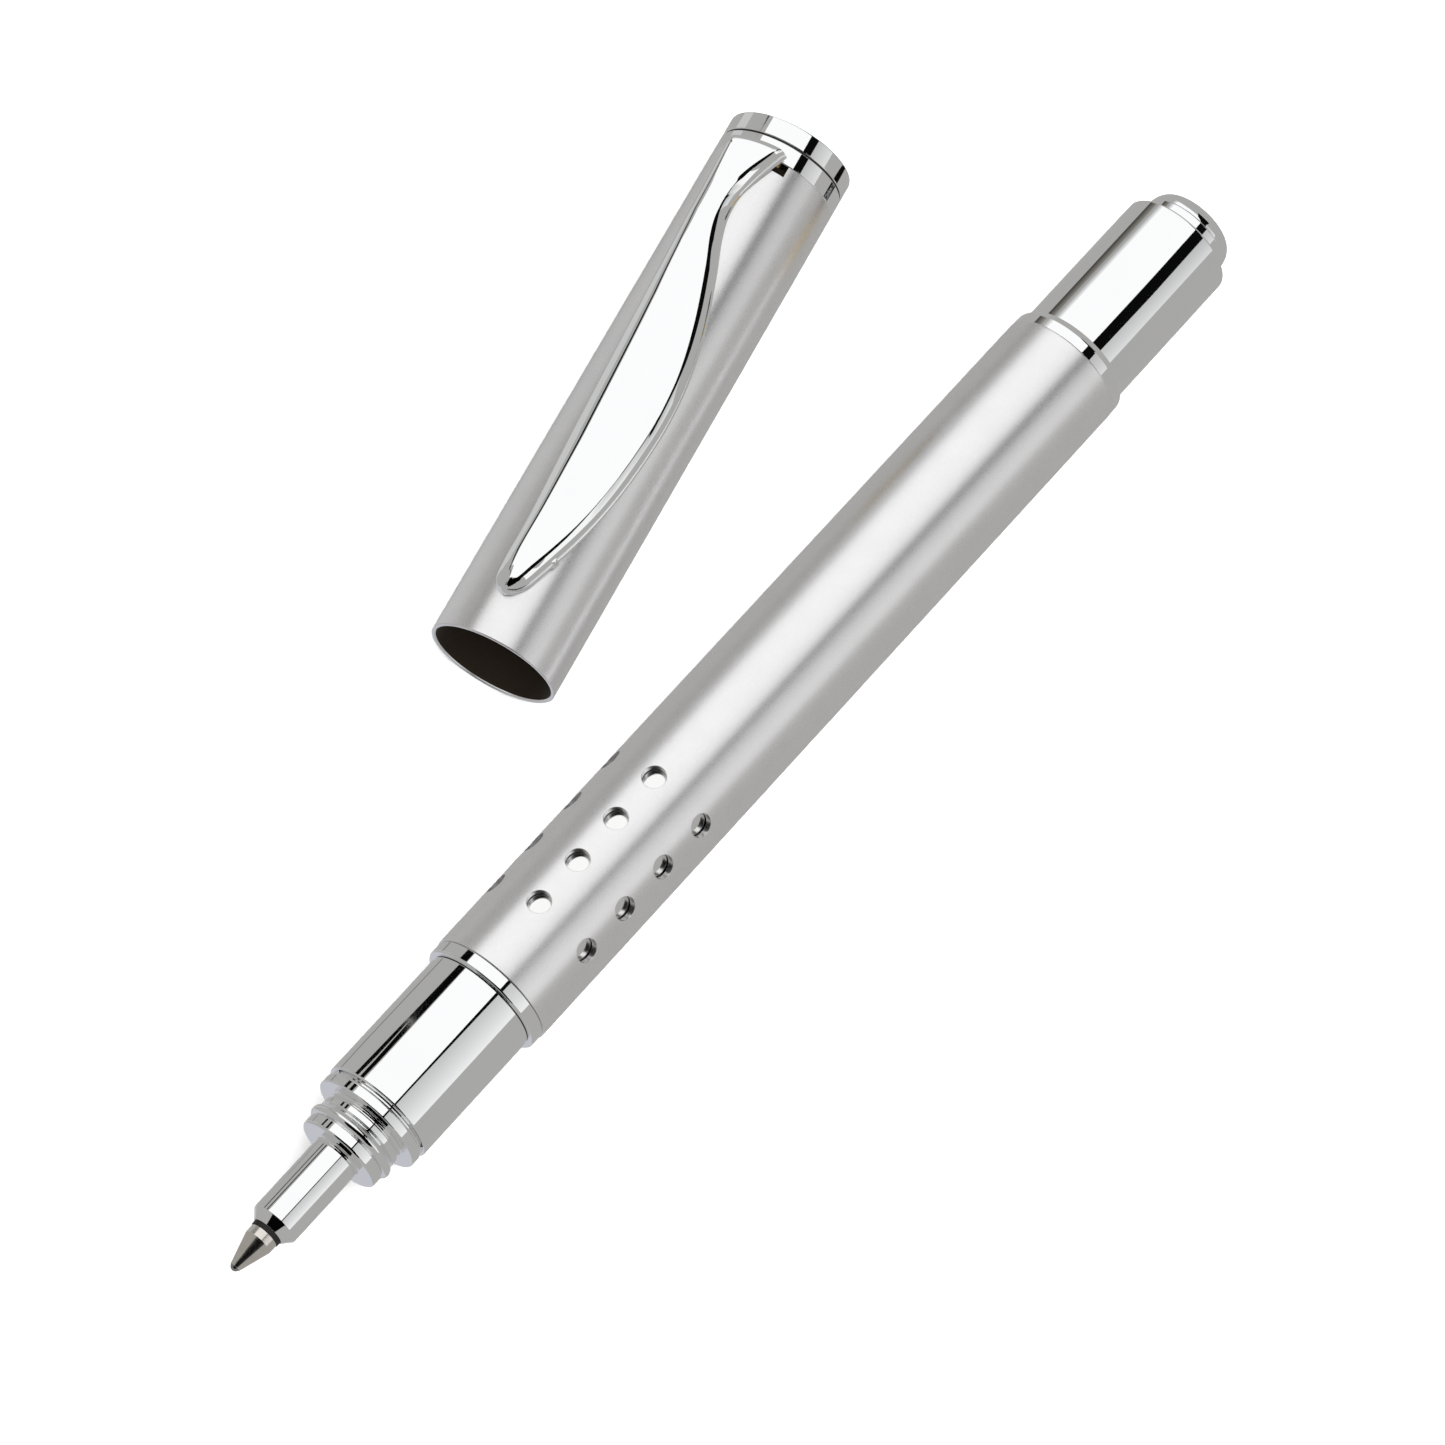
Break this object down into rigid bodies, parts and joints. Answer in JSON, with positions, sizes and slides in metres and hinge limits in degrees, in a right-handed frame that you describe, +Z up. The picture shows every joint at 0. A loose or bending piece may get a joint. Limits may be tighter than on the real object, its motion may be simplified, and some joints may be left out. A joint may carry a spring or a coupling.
{
  "type": "rollerball pen",
  "caption": "Slim metal writing pen with a perforated satin barrel and a polished grip section, lying open with its clip cap beside it.",
  "frame": {"origin": "middle of the perforated barrel tube, on the pen's axis", "axes": "+X along the pen's axis from the writing point to the tail, +Y towards the cap that lies beside the pen, +Z up from the table; the table is at z = -5.5 mm"},
  "size_m": [0.1215, 0.0394, 0.0142],
  "materials": {
    "polished_chrome": "polished chrome plating",
    "cap_chrome": "polished chrome plating",
    "satin_barrel": "satin brushed metal",
    "satin_cap": "satin brushed metal, turned rings inside",
    "liner_metal": "plain drawn tube",
    "brass": "turned brass",
    "stainless": "turned stainless steel",
    "refill_body": "drawn tube",
    "carbide": "ground and lapped",
    "spring_steel": "drawn wire",
    "dark_plastic": "moulded, matt",
    "ink_fibre": "bonded fibre soaked with ink",
    "seal_rubber": "moulded, matt"
  },
  "bodies": {
    "barrel": {"barrel_tube": "satin_barrel", "barrel_liner": "liner_metal", "front_trim_ring": "polished_chrome", "front_bush": "brass", "rear_bush": "brass", "rear_trim_ring": "polished_chrome", "tail_sleeve": "polished_chrome", "tail_button": "polished_chrome", "spring_seat": "dark_plastic"},
    "section": {"section_sleeve": "polished_chrome", "nose_piece": "polished_chrome", "section_seal": "seal_rubber"},
    "refill": {"refill_tip": "stainless", "refill_collar": "dark_plastic", "refill_tube": "refill_body", "ink_feed_rod": "ink_fibre", "ink_reservoir": "ink_fibre", "refill_end_plug": "dark_plastic", "refill_spring": "spring_steel"},
    "ball": {"writing_ball": "carbide"},
    "cap": {"cap_tube": "satin_cap", "cap_liner": "brass", "inner_cap": "dark_plastic", "cap_plug": "brass", "clip_ring": "cap_chrome", "crown_washer": "seal_rubber", "crown": "cap_chrome", "crown_stud": "stainless"},
    "clip": {"clip_blade": "cap_chrome"}
  },
  "joints": [
    {"name": "section_unscrew", "type": "hinge", "parent": "barrel", "child": "section", "pos_m": [-0.0379, 0, 0], "axis": [1, 0, 0], "range_deg": [0, 1440]},
    {"name": "refill_press", "type": "slide", "parent": "section", "child": "refill", "axis": [1, 0, 0], "range_m": [0, 0.0008], "stiffness_N_per_m": 300, "springref_m": -0.004, "deforming": ["refill_spring"]},
    {"name": "ball_roll", "type": "hinge", "parent": "refill", "child": "ball", "pos_m": [-0.0667, 0, 0], "axis": [0, 1, 0], "continuous": true},
    {"name": "cap_swing", "type": "hinge", "parent": "barrel", "child": "cap", "pos_m": [-0.04685, 0.00535, 0], "axis": [0, 0, 1], "range_deg": [0, 167.6]},
    {"name": "clip_flex", "type": "hinge", "parent": "cap", "child": "clip", "pos_m": [0.03024, 0.03076, 0.00522], "axis": [-0.1867, 0.8492, -0.4939], "range_deg": [0, 4], "stiffness_Nm_per_rad": 0.6, "springref_deg": -1.15}
  ]
}
